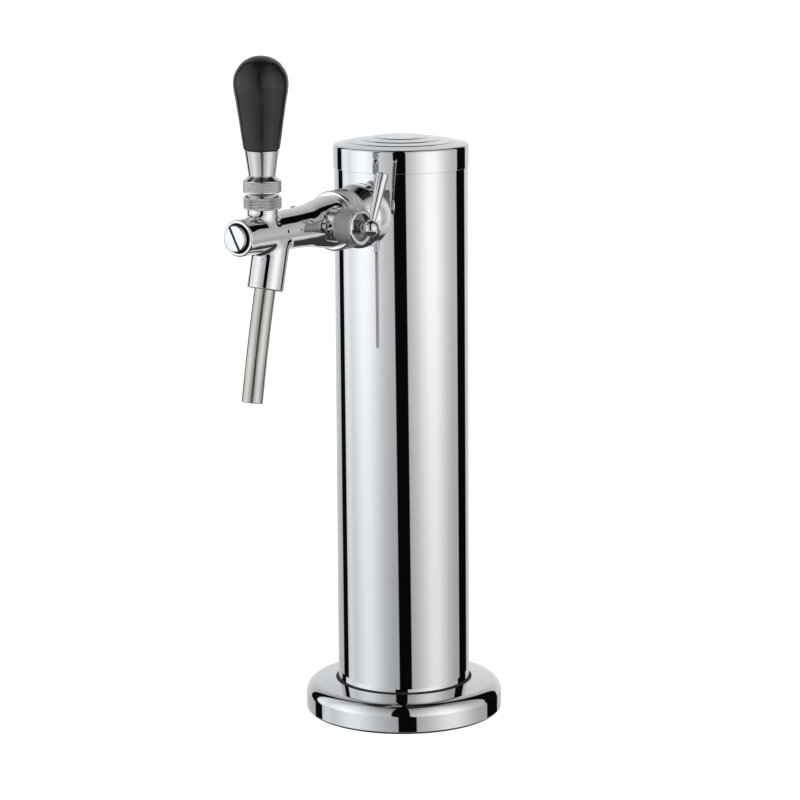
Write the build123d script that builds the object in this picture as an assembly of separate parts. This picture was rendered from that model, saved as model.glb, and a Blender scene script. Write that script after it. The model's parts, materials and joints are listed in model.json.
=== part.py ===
from build123d import *

import math
import os

# Beer tap tower: a chromed steel column on a round base flange, with one compensator tap.
# Millimetres. +Z is up, the tap points to -Y and the flow lever is on the +X side.
# The origin is on the column's axis, on the face that stands on the bar top.

# ---- Driving dimensions -------------------------------------------------------------
# Base
GASKET_R = (51.5, 54.6)
GASKET_TOP = 1.0
PASSAGE_R = 30.0
PLATE_R = 51.0
PLATE_TOP = 6.0
BASE_BOLT_R = 43.0
BASE_BOLT_COUNT = 4
BASE_BOLT_HOLE_R = 2.5
FLANGE_R = 55.9
FLANGE_EDGE_Z = 16.2
FLANGE_EDGE_ROUND = 7.0
FLANGE_HUB_Z = 18.2
FLANGE_WALL = 2.5
FLANGE_BOSS_R = 4.5
FLANGE_SCREW_R = 2.0
FLANGE_SCREW_HEAD_R = 3.8
FLANGE_SCREW_COUNT = 4
FLANGE_SCREW_Z = (0.3, 12.0)

# Column and cap
COLUMN_R = 37.5
COLUMN_WALL = 1.5
COLUMN_TOP = 320.5
FIT_GAP = 0.05
CAP_R = 38.0
CAP_SKIRT_Z = 312.6
CAP_SKIRT_GAP = 0.1
CAP_SEAT_Z = 322.0
CAP_EDGE_Z = 325.4
CAP_TOP_Z = 330.0
CAP_STEPS = ((30.5, 326.8), (23.1, 327.9), (15.5, 329.1))
CAP_STEP_HEIGHT = 0.45

# Tap axis and shank; T values are distances from the column's axis along -Y
TAP_Z = 289.0
SHANK_R = 11.0
SHANK_BORE_R = 4.8
SHANK_T = (14.0, 58.6)
SADDLE_R = 17.8
SADDLE_FRONT_R = 14.0
SADDLE_FRONT_T = 51.4
SADDLE_GAP = 0.6
LOCK_NUT_T = (25.0, 31.0)
LOCK_NUT_FLATS = 32.0
TAIL_NUT_T = (9.4, 20.0)
TAIL_NUT_FLATS = 28.0
TAIL_FLANGE_T = (11.0, 12.6)
TAIL_R = 4.75
TAIL_BORE_R = 3.2
TAIL_BEND_R = 8.0
TAIL_END_Z = 260.0

# Coupling nut
COUPLING_R = 16.5
COUPLING_T = (51.6, 64.0)
COUPLING_HOLES = 6
COUPLING_HOLE_R = 1.5
BODY_FLANGE_T = (60.0, 61.9)
BODY_FLANGE_R = 12.9
BODY_NECK_R = 11.4

# Tap body
BODY_START_T = 64.3
INLET_R = 6.8
INLET_END_T = 84.0
VALVE_BORE_R = 5.7
VALVE_BORE_T = 90.0
SEAT_T = (100.0, 103.2)
SEAT_HOLE_R = 3.6
CHAMBER_R = 5.4
PLUG_THREAD_R = 6.0
PLUG_T = 132.0
PLUG_RECESS_R = 8.0
PLUG_RECESS_T = 139.0
PLUG_HEAD_R = 7.0
PLUG_SLOT = (1.45, 1.5)
PLUG_SLOT_TURN = 28.0
PLUG_FACE_T = 146.1
RING_FACE_T = 143.5

# Handle
PIVOT_T = 122.5
PIVOT_Z = 303.5
NECK_R = 8.2
NECK_TOP = 305.6
SOCKET_R = 5.65
SOCKET_FLOOR = 299.6
BALL_R = 5.5
SEAT_SPHERE_R = 5.55
TIP_R = 2.6
LOWER_STEM_R = 1.8
UPPER_STEM_R = 2.2
BONNET_R = 10.2
BONNET_Z = (302.5, 310.1)
BONNET_TOP_R = 8.8
BONNET_HOLE_TOP_R = 6.8
BONNET_NOTCHES = 6
RING_R = 10.2
RING_Z = (311.3, 320.0)
RING_KNURL_TOP = 317.5
RING_SPHERE_R = 12.4
THREAD_R = 4.75
FERRULE_Z = (320.0, 333.5)
FERRULE_R = (7.2, 9.3)
STUD_R = 4.0
STUD_Z = (328.5, 352.0)
GRIP_Z = (333.5, 383.1)
GRIP_R = 14.65
HANDLE_TRAVEL = 30.0
PISTON_PER_RADIAN = 14.2

# Spout
SPOUT_AXIS_T = 113.9
SPOUT_TILT = 13.7
SPOUT_TIP_TILT = 10.3
SPOUT_R = 5.75
SPOUT_WALL = 0.9
SPOUT_START = 20.0
SPOUT_BOSS_END = 31.0
SPOUT_BOSS_R = 9.8
SPOUT_BORE_R = 4.6
SPOUT_BEND_R = 758.0
SPOUT_TIP_STRAIGHT = 14.4

# Compensator (flow control); X values are distances from the tap's axis along +X
COMP_T = 73.5
COMP_POCKET_R = 9.9
COMP_POCKET_X = 9.5
COLLAR_R = 9.3
COLLAR_X = (9.6, 15.7)
COLLAR_PADS = 12
COLLAR_HOLE_R = 0.7
COMP_NIPPLE_R = 8.0
COMP_NIPPLE_X = 23.5
COMP_BORE_R = 5.2
COMP_NUT_R = 9.9
COMP_NUT_X = (16.0, 28.6)
SPINDLE_R = 3.4
SPINDLE_FLANGE_X = (8.0, 24.4)
SPINDLE_TIP_R = 2.2
SPINDLE_TIP_X = (29.0, 32.5)
ECCENTRIC = 2.2
ECCENTRIC_R = 1.2
ECCENTRIC_X = 3.2
CONE_T = (62.8, 84.0)
CONE_R = (6.4, 4.5)
CONE_STRAIGHT_T = 78.0
GROOVE_GAP = 0.35
HUB_X = 34.2
HUB_R = 4.6
HUB_COLLAR_R = 3.7
HUB_COLLAR_X = 29.2
HUB_SCREW_X = 31.4
HUB_SCREW_R = 1.0
LEVER_LEAN = 21.5
LEVER_LENGTH = 30.5
LEVER_R = (1.7, 3.5)
LEVER_START = 2.1


# ---- Helpers ------------------------------------------------------------------------
def turned(*points):
    """Solid of revolution about local Z; each point is (radius, height[, corner radius])."""
    corners = [(p[0], 0, p[1]) for p in points]
    radii = [p[2] if len(p) == 3 else 0 for p in points]
    outline = FilletPolyline(*corners, radius=radii, close=True)
    return revolve(make_face(outline), Axis.Z)


def tube(inner, outer, low, high):
    """Plain ring or tube along local Z."""
    return turned((inner, low), (outer, low), (outer, high), (inner, high))


def rod(radius, low, high):
    """Plain cylinder along local Z."""
    return Pos(0, 0, (low + high) / 2) * Cylinder(radius, high - low)


def hexagon(across_flats, low, high):
    """Hexagonal prism along local Z."""
    outline = RegularPolygon(across_flats / math.sqrt(3), 6)
    return Pos(0, 0, low) * extrude(outline, high - low)


def along_tap(shape):
    """Turns local Z into the tap's direction, at the tap's height."""
    return Pos(0, 0, TAP_Z) * Rot(90, 0, 0) * shape


def across_tap(shape):
    """Turns local Z into +X, on the flow lever's axis."""
    return Pos(0, -COMP_T, TAP_Z) * Rot(0, 90, 0) * shape


def on_hub(shape):
    """Turns local Z up the flow lever, which leans towards the column."""
    return Pos(HUB_X, -COMP_T, TAP_Z) * Rot(-LEVER_LEAN, 0, 0) * shape


def on_pivot(shape):
    """Moves a shape made round the Z axis to the handle's vertical axis."""
    return Pos(0, -PIVOT_T, 0) * shape


def in_spout(shape):
    """Turns local Z down the spout's boss, from its crossing with the tap's axis."""
    return Pos(0, -SPOUT_AXIS_T, TAP_Z) * Rot(180 - SPOUT_TILT, 0, 0) * shape


def around(count, radius, shape, start=0.0):
    """Copies of a shape on a circle about Z."""
    step = 360.0 / count
    return [Rot(0, 0, start + i * step) * Pos(radius, 0, 0) * shape for i in range(count)]


def keep(name, shape):
    """Writes one node, as one solid or a group of separate solids."""
    solids = shape.solids()
    whole = solids[0] if len(solids) == 1 else Compound(solids)
    export_step(whole, f"parts/{name}.step")


# ---- Base ---------------------------------------------------------------------------
def base_gasket():
    """Flat ring under the rim of the flange, round the mounting plate."""
    return tube(*GASKET_R, 0, GASKET_TOP)


def mounting_plate():
    """Steel ring that the column stands on, tapped for the bolts from under the bar."""
    plate = tube(PASSAGE_R, PLATE_R, 0, PLATE_TOP)
    plate -= around(BASE_BOLT_COUNT, BASE_BOLT_R, rod(BASE_BOLT_HOLE_R, -1, PLATE_TOP + 1))
    return plate - screw_circle(flange_screw(bottom=-1, gap=FIT_GAP))


def flange_screw(bottom=FLANGE_SCREW_Z[0], gap=0.0):
    """Countersunk screw from below, with its head just inside the mounting plate."""
    head = FLANGE_SCREW_HEAD_R + gap
    shank = FLANGE_SCREW_R + gap
    rim = FLANGE_SCREW_Z[0] + 0.5
    return turned(
        (0, bottom),
        (head, bottom),
        (head, rim),
        (shank, rim + FLANGE_SCREW_HEAD_R - FLANGE_SCREW_R),
        (shank, FLANGE_SCREW_Z[1] + gap),
        (0, FLANGE_SCREW_Z[1] + gap),
    )


def screw_circle(shape):
    """Copies on the bolt circle, halfway between the base bolts."""
    return around(FLANGE_SCREW_COUNT, BASE_BOLT_R, shape, start=45)


def flange_screws():
    return Compound(screw_circle(flange_screw()))


def base_flange():
    """Hollow chromed flange: straight side, round edge, gently sloped top."""
    shell = turned(
        (FLANGE_R, GASKET_TOP),
        (FLANGE_R, FLANGE_EDGE_Z, FLANGE_EDGE_ROUND),
        (COLUMN_R + 1.3, FLANGE_HUB_Z),
        (COLUMN_R + 1.3, FLANGE_HUB_Z - 1.0),
        (COLUMN_R + FIT_GAP, FLANGE_HUB_Z - 1.0),
        (COLUMN_R + FIT_GAP, PLATE_TOP + 4.0),
        (COLUMN_R + FLANGE_WALL, PLATE_TOP + 4.0),
        (COLUMN_R + FLANGE_WALL, FLANGE_HUB_Z - FLANGE_WALL - 1.0),
        (FLANGE_R - FLANGE_WALL, FLANGE_EDGE_Z - FLANGE_WALL, FLANGE_EDGE_ROUND - FLANGE_WALL),
        (FLANGE_R - FLANGE_WALL, GASKET_TOP),
    )
    shell += screw_circle(rod(FLANGE_BOSS_R, PLATE_TOP, FLANGE_EDGE_Z - 1.0))
    return shell - screw_circle(flange_screw(gap=FIT_GAP))


def column_seal_ring():
    """Thin dark ring between the column and the flange."""
    low = FLANGE_HUB_Z - 1.0 + FIT_GAP
    return turned(
        (COLUMN_R + FIT_GAP, low),
        (COLUMN_R + 1.25, low),
        (COLUMN_R + 1.25, FLANGE_HUB_Z + 0.5, 0.4),
        (COLUMN_R + FIT_GAP, FLANGE_HUB_Z + 0.5),
    )


# ---- Column and cap -----------------------------------------------------------------
def column_tube():
    wall = tube(COLUMN_R - COLUMN_WALL, COLUMN_R, PLATE_TOP, COLUMN_TOP)
    return wall - along_tap(rod(SHANK_R + 0.3, 0, COLUMN_R + 5))


def column_cap():
    """Push-on cap with a skirt and three low concentric steps on its crown."""
    inner = COLUMN_R + CAP_SKIRT_GAP
    outline = [
        (inner, CAP_SKIRT_Z),
        (CAP_R, CAP_SKIRT_Z, 0.3),
        (CAP_R, CAP_EDGE_Z, 1.6),
    ]
    for radius, height in CAP_STEPS:
        outline.append((radius, height, 0.6))
        outline.append((radius - 0.6, height + CAP_STEP_HEIGHT, 0.3))
    outline += [
        (0, CAP_TOP_Z),
        (0, CAP_TOP_Z - 2.0),
        (CAP_STEPS[0][0], CAP_STEPS[0][1] - 2.0),
        (COLUMN_R - COLUMN_WALL, CAP_SEAT_Z + 1.0),
        (COLUMN_R - COLUMN_WALL, CAP_SEAT_Z),
        (inner, CAP_SEAT_Z),
    ]
    return turned(*outline)


def cap_seal_ring():
    return tube(COLUMN_R - COLUMN_WALL, COLUMN_R, COLUMN_TOP, CAP_SEAT_Z)


# ---- Shank --------------------------------------------------------------------------
def shank_tube():
    return along_tap(tube(SHANK_BORE_R, SHANK_R, *SHANK_T))


def shank_gasket():
    """Thin rubber saddle between the column and the saddle flange."""
    disc = along_tap(tube(SHANK_R + 0.3, SADDLE_R - 0.5, 20, 45))
    skin = rod(COLUMN_R + SADDLE_GAP, TAP_Z - 30, TAP_Z + 30) - rod(COLUMN_R, 0, 400)
    return disc & skin


def saddle_flange():
    """Smooth collar whose back is cut to the column's curve."""
    cone = turned(
        (SHANK_R + FIT_GAP, 28),
        (SADDLE_R, 28),
        (SADDLE_R, 42.5, 5.0),
        (SADDLE_FRONT_R, SADDLE_FRONT_T - 3.0, 6.0),
        (SADDLE_FRONT_R, SADDLE_FRONT_T),
        (SHANK_R + FIT_GAP, SADDLE_FRONT_T),
    )
    return along_tap(cone) - rod(COLUMN_R + SADDLE_GAP, 0, 400)


def inner_saddle_washer():
    """Washer with one side cut to the inside of the column."""
    disc = along_tap(tube(SHANK_R + FIT_GAP, 16.0, LOCK_NUT_T[1], COLUMN_R))
    return disc & rod(COLUMN_R - COLUMN_WALL - 0.02, 0, 400)


def shank_lock_nut():
    nut = hexagon(LOCK_NUT_FLATS, *LOCK_NUT_T) - rod(SHANK_R + FIT_GAP, 0, 40)
    return along_tap(nut)


def tailpiece_washer():
    return along_tap(tube(SHANK_BORE_R, 9.5, TAIL_FLANGE_T[1], SHANK_T[0]))


def tailpiece_elbow():
    """Flanged elbow that turns the beer way straight down the column's axis."""
    flange = along_tap(rod(10.5, *TAIL_FLANGE_T))
    start = (0, -TAIL_FLANGE_T[0] - 0.5, TAP_Z)
    path = FilletPolyline(start, (0, 0, TAP_Z), (0, 0, TAIL_END_Z), radius=[TAIL_BEND_R])
    mouth = Plane(origin=start, z_dir=(0, 1, 0))
    outside = flange + sweep(mouth * Circle(TAIL_R), path)
    drilled = along_tap(rod(TAIL_BORE_R, TAIL_FLANGE_T[0] - 1, TAIL_FLANGE_T[1] + 1))
    return outside - sweep(mouth * Circle(TAIL_BORE_R), path) - drilled


def tailpiece_nut():
    nut = hexagon(TAIL_NUT_FLATS, *TAIL_NUT_T)
    nut -= rod(SHANK_R + FIT_GAP, TAIL_FLANGE_T[0], TAIL_NUT_T[1] + 1)
    return along_tap(nut - rod(TAIL_R + 0.3, 0, TAIL_NUT_T[1]))


# ---- Coupling nut -------------------------------------------------------------------
def coupling_nut():
    """Round nut that draws the tap onto the shank, turned with a pin spanner."""
    low, high = COUPLING_T
    nut = turned(
        (SHANK_R + FIT_GAP, low),
        (COUPLING_R, low, 0.5),
        (COUPLING_R, high, 1.2),
        (BODY_NECK_R + 0.3, high),
        (BODY_NECK_R + 0.3, BODY_FLANGE_T[1] + FIT_GAP),
        (BODY_FLANGE_R + 0.2, BODY_FLANGE_T[1] + FIT_GAP),
        (BODY_FLANGE_R + 0.2, SHANK_T[1]),
        (SHANK_R + FIT_GAP, SHANK_T[1]),
    )
    hole = Rot(0, 90, 0) * Cylinder(COUPLING_HOLE_R, 4)
    middle = Pos(0, 0, (low + SHANK_T[1]) / 2)
    return along_tap(nut - [middle * h for h in around(COUPLING_HOLES, COUPLING_R, hole, 20)])


def coupling_washer():
    return along_tap(tube(SHANK_BORE_R, 12.6, SHANK_T[1], BODY_FLANGE_T[0]))


# ---- Tap body -----------------------------------------------------------------------
def body_barrel():
    """Barrel of the tap, waisted behind the handle's neck and flared to the nut."""
    waist = Spline(
        (14.3, 0, 67.5),
        (13.6, 0, 73.0),
        (12.6, 0, 79.0),
        (11.6, 0, 85.0),
        (11.1, 0, 93.0),
        (10.7, 0, 106.0),
        (10.3, 0, 120.0),
        (10.0, 0, 132.0),
        (9.8, 0, 140.0),
        tangents=((0, 0, 1), (0, 0, 1)),
    )
    front = Polyline((9.8, 0, 140.0), (9.8, 0, RING_FACE_T), (0, 0, RING_FACE_T))
    back = Polyline(
        (0, 0, RING_FACE_T),
        (0, 0, BODY_FLANGE_T[0]),
        (BODY_FLANGE_R, 0, BODY_FLANGE_T[0]),
        (BODY_FLANGE_R, 0, BODY_FLANGE_T[1]),
        (BODY_NECK_R, 0, BODY_FLANGE_T[1]),
        (BODY_NECK_R, 0, BODY_START_T),
        (13.5, 0, BODY_START_T),
        (14.3, 0, BODY_START_T + 0.8),
        (14.3, 0, 67.5),
    )
    outline = make_face([*waist.edges(), *front.edges(), *back.edges()])
    return along_tap(revolve(outline, Axis.Z))


def body_bores():
    """Beer way, valve bore, seat hole, piston chamber and the front plug's recess."""
    return along_tap(
        turned(
            (0, BODY_FLANGE_T[0] - 1),
            (INLET_R, BODY_FLANGE_T[0] - 1),
            (INLET_R, INLET_END_T),
            (VALVE_BORE_R, VALVE_BORE_T),
            (VALVE_BORE_R, SEAT_T[0]),
            (SEAT_HOLE_R, SEAT_T[0]),
            (SEAT_HOLE_R, SEAT_T[1]),
            (CHAMBER_R, SEAT_T[1]),
            (CHAMBER_R, PLUG_T),
            (PLUG_THREAD_R, PLUG_T),
            (PLUG_THREAD_R, PLUG_RECESS_T),
            (PLUG_RECESS_R, PLUG_RECESS_T),
            (PLUG_RECESS_R, RING_FACE_T + 1),
            (0, RING_FACE_T + 1),
        )
    )


def lever_slot():
    """Room in the body for the lower end of the handle's lever to swing back."""
    half = LOWER_STEM_R + 0.6
    reach = math.tan(math.radians(HANDLE_TRAVEL))
    low, high = TAP_Z, SOCKET_FLOOR + 0.1
    outline = Polyline(
        (0, half, low),
        (0, -half, low),
        (0, -half, high),
        (0, (PIVOT_Z - high) * reach + half + 0.3, high),
        (0, (PIVOT_Z - low) * reach + half + 0.3, low),
        close=True,
    )
    wedge = extrude(make_face(outline), half, both=True)
    return on_pivot(wedge)


def tap_body():
    neck = on_pivot(rod(NECK_R, TAP_Z, NECK_TOP))
    boss = in_spout(turned((0, 0), (9.9, 0), (SPOUT_BOSS_R, SPOUT_BOSS_END, 0.8), (0, SPOUT_BOSS_END)))
    pocket = across_tap(rod(COMP_POCKET_R, COMP_POCKET_X, COMP_NIPPLE_X))
    body = body_barrel() - pocket + across_tap(rod(COMP_NIPPLE_R, 6, COMP_NIPPLE_X)) + neck + boss
    body -= body_bores()
    body -= on_pivot(rod(SOCKET_R, SOCKET_FLOOR, NECK_TOP + 1) + Pos(0, 0, PIVOT_Z) * Sphere(SOCKET_R))
    body -= lever_slot()
    body -= in_spout(rod(SPOUT_BORE_R, 0, SPOUT_BOSS_END))
    body -= in_spout(rod(SPOUT_R + FIT_GAP, SPOUT_START, SPOUT_BOSS_END + 1))
    body -= in_spout(rod(SPOUT_R + 1.2, SPOUT_BOSS_END - 3.5, SPOUT_BOSS_END - 1.5))
    body -= across_tap(rod(COMP_BORE_R, 5.5, COMP_NIPPLE_X + 1))
    return body - guide_screw(gap=FIT_GAP)


def guide_screw(gap=0.0):
    """Small screw on the back of the barrel that keeps the flow cone from turning."""
    screw = turned(
        (0, 8.2 - gap),
        (1.4 + gap, 8.2 - gap),
        (1.4 + gap, 11.0 - gap),
        (2.3 + gap, 11.0 - gap),
        (2.3 + gap, 13.0, 0.6),
        (0, 13.0),
    )
    return Pos(0, -87.0, TAP_Z) * Rot(0, -45, 0) * screw


def front_plug():
    """Slotted plug that closes the valve bore; its slot leans off vertical."""
    plug = turned(
        (0, PLUG_T),
        (PLUG_THREAD_R, PLUG_T),
        (PLUG_THREAD_R, PLUG_RECESS_T + 1.2),
        (PLUG_HEAD_R, PLUG_RECESS_T + 1.2),
        (PLUG_HEAD_R, PLUG_FACE_T, 0.6),
        (0, PLUG_FACE_T),
    )
    width, depth = PLUG_SLOT
    slot = Pos(0, 0, PLUG_FACE_T) * Rot(0, 0, PLUG_SLOT_TURN) * Box(width, 20, 2 * depth)
    return along_tap(plug - slot)


def front_plug_seal():
    return along_tap(tube(PLUG_THREAD_R, PLUG_RECESS_R - 0.1, PLUG_RECESS_T, PLUG_RECESS_T + 1.2))


# ---- Valve piston -------------------------------------------------------------------
def piston_shaft():
    """Rod that carries the seat washer, with a crosswise slot for the lever's tip."""
    shaft = turned(
        (0, 94.0),
        (1.9, 94.0),
        (1.9, 101.0),
        (2.2, 101.0),
        (2.2, 113.0),
        (5.2, 115.0),
        (5.2, 131.0),
        (0, 131.0),
    )
    half = TIP_R + 0.4
    rise = 2.2
    slot = Polyline(
        (0, half, TAP_Z - 6),
        (0, -half, TAP_Z - 6),
        (0, -half, TAP_Z + rise),
        (0, -half - 2.4, TAP_Z + 6),
        (0, half, TAP_Z + 6),
        close=True,
    )
    return along_tap(shaft) - on_pivot(extrude(make_face(slot), half, both=True))


def seat_washer():
    return along_tap(tube(1.95, 5.1, 97.8, SEAT_T[0]))


def seat_washer_nut():
    return along_tap(hexagon(7.0, 94.8, 97.8) - rod(1.95, 90, 100))


# ---- Bonnet and handle --------------------------------------------------------------
def ball_seat_ring():
    """Ring under the lever's ball."""
    ring = tube(4.5, SOCKET_R - 0.02, SOCKET_FLOOR, 301.4)
    return on_pivot(ring - Pos(0, 0, PIVOT_Z) * Sphere(SEAT_SPHERE_R))


def bonnet_washer():
    """Friction washer between the lever's ball and the bonnet nut."""
    ring = tube(4.0, NECK_R - 0.1, NECK_TOP, 306.4)
    cone = turned((0, 305), (4.7, 305), (5.0, 307), (0, 307))
    return on_pivot(ring - Pos(0, 0, PIVOT_Z) * Sphere(SEAT_SPHERE_R) - cone)


def bonnet_nut():
    """Knurled nut that holds the lever's ball, notched round its top."""
    low, high = BONNET_Z
    nut = turned(
        (NECK_R + FIT_GAP, low),
        (BONNET_R, low, 0.5),
        (BONNET_R, high - 1.2),
        (BONNET_TOP_R, high),
        (BONNET_HOLE_TOP_R, high),
        (5.0, 306.4),
        (NECK_R + FIT_GAP, 306.4),
    )
    notch = Box(2.4, 2.2, 1.6)
    notches = around(BONNET_NOTCHES, BONNET_R, Pos(0, 0, high) * notch, start=7.5)
    return on_pivot(nut - notches)


def lever():
    """Forged lever: lower tip, pivot ball, stem and the thread for the handle."""
    stem = turned(
        (0, TAP_Z),
        (LOWER_STEM_R, TAP_Z),
        (LOWER_STEM_R, PIVOT_Z),
        (UPPER_STEM_R, PIVOT_Z),
        (UPPER_STEM_R, 314.6),
        (THREAD_R - 0.05, 316.4),
        (THREAD_R - 0.05, 327.0),
        (0, 327.0),
    )
    whole = stem + Pos(0, 0, PIVOT_Z) * Sphere(BALL_R) + Pos(0, 0, TAP_Z) * Sphere(TIP_R)
    return on_pivot(whole)


def lock_ring():
    """Knurled ring that locks the handle; hollow underneath to swing over the bonnet."""
    low, high = RING_Z
    ring = turned(
        (THREAD_R, low - 1),
        (RING_R, low - 1),
        (RING_R, RING_KNURL_TOP),
        (7.6, high - 0.4, 0.8),
        (7.2, high),
        (THREAD_R, high),
    )
    ring -= Pos(0, 0, PIVOT_Z) * Sphere(RING_SPHERE_R)
    return on_pivot(ring - rod(RING_R + 1, low - 2, low))


def handle_ferrule():
    low, high = FERRULE_Z
    return on_pivot(
        turned(
            (THREAD_R, low),
            (FERRULE_R[0], low, 0.3),
            (FERRULE_R[1], high, 0.4),
            (STUD_R + FIT_GAP, high),
            (STUD_R + FIT_GAP, STUD_Z[0] - 0.3),
            (THREAD_R, STUD_Z[0] - 0.8),
        )
    )


def handle_stud():
    """Threaded stud moulded into the grip and screwed into the ferrule."""
    return on_pivot(rod(STUD_R, *STUD_Z))


def handle_grip():
    """Pear-shaped black grip."""
    low, high = GRIP_Z
    side = Spline(
        (9.7, 0, low + 0.9),
        (10.5, 0, low + 6.0),
        (11.6, 0, low + 14.0),
        (13.2, 0, low + 24.5),
        (GRIP_R, 0, low + 34.7),
        (12.1, 0, high - 6.4),
        (5.8, 0, high - 1.1),
        (0, 0, high),
        tangents=((0.02, 0, 1), (-1, 0, 0)),
    )
    rest = Polyline(
        (0, 0, high),
        (0, 0, STUD_Z[1] + 0.5),
        (STUD_R + FIT_GAP, 0, STUD_Z[1] + 0.5),
        (STUD_R + FIT_GAP, 0, low),
        (8.8, 0, low),
        (9.7, 0, low + 0.9),
    )
    return on_pivot(revolve(make_face([*side.edges(), *rest.edges()]), Axis.Z))


# ---- Spout --------------------------------------------------------------------------
def spout_path():
    """Straight into the boss, one long gentle bend, then a straight tip."""
    bend = SPOUT_TILT - SPOUT_TIP_TILT
    straight = SPOUT_BOSS_END - SPOUT_START + 1.0
    first = Line((0, 0, 0), (0, 0, straight))
    centre = Vector(0, -SPOUT_BEND_R, straight)
    half, full = math.radians(bend / 2), math.radians(bend)
    middle = centre + Vector(0, math.cos(half), math.sin(half)) * SPOUT_BEND_R
    end = centre + Vector(0, math.cos(full), math.sin(full)) * SPOUT_BEND_R
    arc = ThreePointArc(first @ 1, middle, end)
    tip = end + Vector(0, -math.sin(full), math.cos(full)) * SPOUT_TIP_STRAIGHT
    return Wire([*first.edges(), *arc.edges(), *Line(end, tip).edges()])


def spout_tube():
    path = spout_path()
    outside = sweep(Circle(SPOUT_R), path)
    inside = sweep(Circle(SPOUT_R - SPOUT_WALL), path)
    return in_spout(Pos(0, 0, SPOUT_START) * (outside - inside))


def spout_seal():
    low = SPOUT_BOSS_END - 3.4
    return in_spout(tube(SPOUT_R + FIT_GAP, SPOUT_R + 1.15, low, low + 1.8))


# ---- Compensator --------------------------------------------------------------------
def compensator_cone():
    """Tapered plug in the beer way that throttles the flow as it slides."""
    low, high = CONE_T
    cone = turned((0, low), (CONE_R[0], low), (CONE_R[0], CONE_STRAIGHT_T), (CONE_R[1], high), (0, high))
    width = 2 * (ECCENTRIC_R + GROOVE_GAP)
    groove = Pos(5.0, -COMP_T, TAP_Z - 1.6) * Box(4.6, width, 6.4)
    return along_tap(cone) - groove


def compensator_spindle():
    """Spindle with an off-centre pin that pushes the flow cone to and fro."""
    low, high = SPINDLE_FLANGE_X
    spindle = turned(
        (0, low),
        (COMP_BORE_R - FIT_GAP, low),
        (COMP_BORE_R - FIT_GAP, high),
        (SPINDLE_R, high),
        (SPINDLE_R, SPINDLE_TIP_X[0]),
        (SPINDLE_TIP_R, SPINDLE_TIP_X[0]),
        (SPINDLE_TIP_R, SPINDLE_TIP_X[1]),
        (0, SPINDLE_TIP_X[1]),
    )
    for groove in (11.0, 16.0):
        spindle -= tube(4.2, COMP_BORE_R, groove, groove + 1.6)
    pin = Pos(ECCENTRIC, 0, 0) * rod(ECCENTRIC_R, ECCENTRIC_X, low + 1)
    return across_tap(spindle + pin)


def spindle_o_rings():
    rings = [tube(4.2, COMP_BORE_R - 0.02, low, low + 1.6) for low in (11.0, 16.0)]
    return across_tap(Compound([r.solid() for r in rings]))


def compensator_nut():
    """Knurled nut that holds the spindle in the tap's side boss."""
    low, high = COMP_NUT_X
    return across_tap(
        turned(
            (COMP_NIPPLE_R + FIT_GAP, low),
            (COMP_NUT_R, low, 0.6),
            (COMP_NUT_R, high, 0.9),
            (7.4, high),
            (7.4, high - 2.0),
            (SPINDLE_R + 0.3, high - 2.0),
            (SPINDLE_R + 0.3, SPINDLE_FLANGE_X[1] + 1.2),
            (COMP_NIPPLE_R + FIT_GAP, SPINDLE_FLANGE_X[1] + 1.2),
        )
    )


def compensator_collar():
    """Ring with pads for a hook spanner, between the tap's body and the knurled nut."""
    low, high = COLLAR_X
    ring = turned(
        (COMP_NIPPLE_R + FIT_GAP, low),
        (COLLAR_R, low, 0.8),
        (COLLAR_R, high, 0.3),
        (COMP_NIPPLE_R + FIT_GAP, high),
    )
    gap = Pos(0, 0, (low + high) / 2) * Box(2.2, 1.5, high - low + 1)
    hole = Pos(0, 0, (low + high) / 2) * Rot(0, 90, 0) * Cylinder(COLLAR_HOLE_R, 3)
    ring -= around(COLLAR_PADS, COLLAR_R, gap, start=15)
    return across_tap(ring - around(3, COLLAR_R, hole, start=-90))


def compensator_washer():
    """Slip washer between the spindle's shoulder and the nut."""
    low = SPINDLE_FLANGE_X[1] + FIT_GAP
    return across_tap(tube(SPINDLE_R + 0.1, 7.8, low, low + 1.1))


def compensator_hub():
    """Round hub on the spindle that holds the flow lever."""
    hub = Pos(0, 0, HUB_X) * Sphere(HUB_R) + rod(HUB_COLLAR_R, HUB_COLLAR_X, HUB_X - 2)
    hub -= rod(SPINDLE_TIP_R + 0.01, 0, SPINDLE_TIP_X[1])
    socket = on_hub(rod(LEVER_R[0] + 0.01, LEVER_START, HUB_R + 1))
    return across_tap(hub) - socket - grub_hole(HUB_SCREW_R + 0.01, HUB_COLLAR_R + 1)


def grub_hole(radius, reach):
    """Cylinder from the spindle's tip straight down out of the hub's collar."""
    low = TAP_Z - reach
    return Pos(HUB_SCREW_X, -COMP_T, 0) * rod(radius, low, TAP_Z - SPINDLE_TIP_R - 0.02)


def hub_screw():
    """Slotted grub screw under the hub, which fixes it on the spindle."""
    end = HUB_COLLAR_R - 0.25
    slot = Pos(HUB_SCREW_X, -COMP_T, TAP_Z - end) * Box(3, 0.4, 0.8)
    return grub_hole(HUB_SCREW_R, end) - slot


def compensator_lever():
    """Tapered flow lever, thickest at its flat free end."""
    return on_hub(
        turned(
            (0, LEVER_START),
            (LEVER_R[0], LEVER_START),
            (LEVER_R[0], HUB_R + 0.2),
            (LEVER_R[1], LEVER_LENGTH, 0.7),
            (0, LEVER_LENGTH),
        )
    )


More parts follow.
